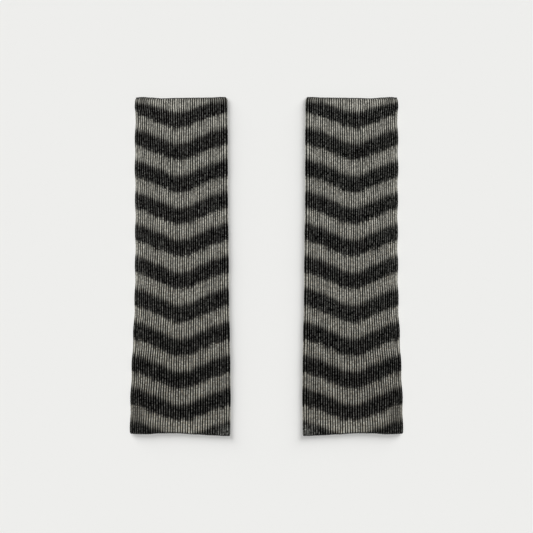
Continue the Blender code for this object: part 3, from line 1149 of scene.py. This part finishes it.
def edge_wool(colours):
    """Spun wool, bound off in loops: the same matt yarn in charcoal alone, so each mouth ends in
    a thin dark beaded line."""
    finish = {"Roughness": 0.95, "Sheen Weight": 0.12, "Sheen Roughness": 0.6, "Specular IOR Level": 0.2}
    material, tree, inputs = new_material("bound-off wool yarn", finish)
    point = add_node(tree, "ShaderNodeTexCoord")["Object"]
    fibres = add_node(
        tree, "ShaderNodeTexNoise", {"Vector": point, "Scale": 1 / LOOP_FIBRE, "Detail": 2.0}
    )["Fac"]
    tone = add_node(tree, "ShaderNodeMapRange", {"Value": fibres, **span("To", LOOP_TONES)})[0]
    colour = add_node(
        tree, "ShaderNodeVectorMath", {0: tuple(colours.edge)[:3], "Scale": tone}, operation="SCALE"
    )[0]
    tree.links.new(colour, inputs["Base Color"])
    relief = {"Height": fibres, "Strength": 0.6, "Distance": FIBRE_RELIEF}
    tree.links.new(add_node(tree, "ShaderNodeBump", relief)[0], inputs["Normal"])
    return material


def pale_floor(look):
    """Matt painted board, smooth and almost white, so only the soft shadows show on it."""
    finish = {"Roughness": 0.9, "Specular IOR Level": 0.0, "Base Color": tuple(look.floor)}
    return new_material("matt painted board", finish)[0]


def mouth_path(name, top, sizes, loops):
    """The closed path of a mouth's loops, midway in the wall and in the row beyond the tube."""
    wale = np.arange(0, sizes.ribs_over + sizes.ribs_under, 1 / PATH_POINTS_PER_RIB)
    stretch, share = places_round(wale, sizes)
    end = LENGTH / 2 if top else -LENGTH / 2
    outer, inner, height = (outline(np.array(end), key) for key in ("outer", "inner", "height"))
    outer, inner = -outer, -inner
    inset = FOLD_WALL / 2
    stand = LARGEST_LOOP * (loops.loop_width / 2 + loops.yarn_radius)
    corners = []
    for row in (0, -1):
        edge = EDGE_RUNS[row].drop if top else EDGE_RUNS[row].rise
        corners.append(corner_inset(end - math.copysign(LOOP_MIDDLE + edge * MM, end), row))
    x, z, _, _ = ring_points(
        stretch,
        share,
        outer + inset + corners[0],
        inner - inset - corners[1],
        stand + LOOP_CLEARANCE,
        height - stand,
        FOLD_REACH - inset,
    )
    across = (x - outer) / (inner - outer)
    if top:
        along = LENGTH / 2 - edge_run(across, "drop") - LOOP_MIDDLE
    else:
        along = -LENGTH / 2 + edge_run(across, "rise") + LOOP_MIDDLE
    curve = bpy.data.curves.new(name, "CURVE")
    curve.dimensions = "3D"
    spline = curve.splines.new("POLY")
    spline.points.add(len(wale) - 1)
    for point, place in zip(spline.points, np.stack((x, along, z), axis=-1)):
        point.co = (*place, 1.0)
    spline.use_cyclic_u = True
    return curve


class LEGWARMERS_OT_tubes(bpy.types.Operator):
    """Build the knitted tubes, each as a front layer with both folds and a back layer"""

    bl_idname = "leg_warmers.tubes"
    bl_label = "Knitted Tubes"

    def execute(self, context):
        sizes = context.scene.leg_warmer_knit
        material = rib_wool(context.scene.leg_warmer_colours)
        tree = rib_tree()
        course_height = (LENGTH - 2 * EDGE_ROW) / sizes.courses
        layers = (("front", 0, sizes.ribs_over), ("back", sizes.ribs_over, sizes.ribs_under))
        for seed, (layer, first_rib, ribs) in enumerate(layers):
            data = wall_mesh("base_" + layer, first_rib, ribs, sizes)
            values = {
                "Rib Depth": sizes.rib_depth,
                "Stitch Depth": sizes.stitch_depth,
                "Climb": 2 * sizes.stitch_climb * course_height,
                "Courses": float(sizes.courses),
                "Unevenness": sizes.unevenness,
                "Seed": seed,
                "Material": material,
            }
            left = run_tree(linked_object("base_" + layer, data), tree, values, "left_" + layer)
            left.attributes.remove(left.attributes["outward"])
            for side, mesh in (("left", left), ("right", mirrored(left, "right_" + layer))):
                piece = linked_object(f"{side}_{layer}", mesh)
                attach(piece, BODY)
                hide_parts(side + "_tube")
        return {"FINISHED"}


class LEGWARMERS_OT_edges(bpy.types.Operator):
    """Build the row of dark loops round each mouth"""

    bl_idname = "leg_warmers.edges"
    bl_label = "Bound-Off Edges"

    def execute(self, context):
        sizes = context.scene.leg_warmer_edges
        knit = context.scene.leg_warmer_knit
        material = edge_wool(context.scene.leg_warmer_colours)
        tree = chain_tree()
        for seed, (mouth, top) in enumerate((("top", True), ("bottom", False))):
            path = mouth_path("path_" + mouth, top, knit, sizes)
            values = {
                "Loops": sizes.loops,
                "Loop Length": sizes.loop_length,
                "Loop Width": sizes.loop_width,
                "Yarn Radius": sizes.yarn_radius,
                "Lift": sizes.lift if top else -sizes.lift,
                "Seed": seed,
                "Material": material,
            }
            left = run_tree(linked_object("path_" + mouth, path), tree, values, f"left_{mouth}_loops")
            for side, mesh in (("left", left), ("right", mirrored(left, f"right_{mouth}_loops"))):
                piece = linked_object(f"{side}_{mouth}_loops", mesh)
                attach(piece, BODY)
                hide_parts(f"{side}_{mouth}_edge")
        return {"FINISHED"}


class LEGWARMERS_OT_stage(bpy.types.Operator):
    """Set the pale floor, the soft lights and the camera"""

    bl_idname = "leg_warmers.stage"
    bl_label = "Stage"

    def execute(self, context):
        scene = context.scene
        look = scene.leg_warmer_stage
        floor = bpy.data.meshes.new("floor")
        reach = look.floor_reach
        corners = [(-reach, -reach, 0.0), (reach, -reach, 0.0), (reach, reach, 0.0), (-reach, reach, 0.0)]
        floor.from_pydata(corners, [], [(0, 1, 2, 3)])
        floor.materials.append(pale_floor(look))
        floor = linked_object("floor", floor)

        camera = bpy.data.cameras.new("camera")
        camera.lens = look.lens
        camera.clip_end = 2 * look.floor_reach
        camera = linked_object("camera", camera)
        camera.location = (0.0, 0.0, look.view_width * look.lens / camera.data.sensor_width)
        scene.camera = camera

        world = bpy.data.worlds.new("soft studio")
        world.use_nodes = True
        world.node_tree.nodes["Background"].inputs["Strength"].default_value = look.ambient
        world.node_tree.nodes["Background"].inputs["Color"].default_value = (1.0, 1.0, 1.0, 1.0)
        scene.world = world
        for side, sign in (("left", -1.0), ("right", 1.0)):
            lit = bpy.data.collections.new(side + " leg warmer")
            for thing in scene.objects:
                if thing.type == "MESH" and thing.name.startswith(side):
                    lit.objects.link(thing)
            light = bpy.data.lights.new("key_" + side, "SUN")
            light.energy = look.key
            light.angle = math.radians(LIGHT_WIDTH)
            light = linked_object("key_" + side, light)
            outwards, along, up = LIGHT_PLACE
            light.rotation_euler = Vector((sign * outwards, along, up)).to_track_quat("Z", "Y").to_euler()
            light.light_linking.blocker_collection = lit
        scene.view_settings.view_transform = "Standard"
        return {"FINISHED"}


class LEGWARMERS_PT_panel(bpy.types.Panel):
    """Buttons that build the leg warmers' pieces and set their stage"""

    bl_idname = "LEGWARMERS_PT_panel"
    bl_label = "Leg Warmers"
    bl_space_type = "VIEW_3D"
    bl_region_type = "UI"
    bl_category = "Leg Warmers"

    def draw(self, context):
        for operator in OPERATORS:
            self.layout.operator(operator.bl_idname)


OPERATORS = (LEGWARMERS_OT_tubes, LEGWARMERS_OT_edges, LEGWARMERS_OT_stage)
SETTINGS = (
    ("leg_warmer_knit", KnitSizes),
    ("leg_warmer_edges", EdgeSizes),
    ("leg_warmer_colours", WoolColours),
    ("leg_warmer_stage", StageLook),
)


def register():
    for name, group in SETTINGS:
        bpy.utils.register_class(group)
        setattr(bpy.types.Scene, name, PointerProperty(type=group))
    for kind in (*OPERATORS, LEGWARMERS_PT_panel):
        bpy.utils.register_class(kind)


def unregister():
    for kind in (LEGWARMERS_PT_panel, *reversed(OPERATORS)):
        bpy.utils.unregister_class(kind)
    for name, group in reversed(SETTINGS):
        delattr(bpy.types.Scene, name)
        bpy.utils.unregister_class(group)


def main():
    register()
    bpy.ops.leg_warmers.tubes()
    bpy.ops.leg_warmers.edges()
    bpy.ops.leg_warmers.stage()


if __name__ == "__main__":
    main()
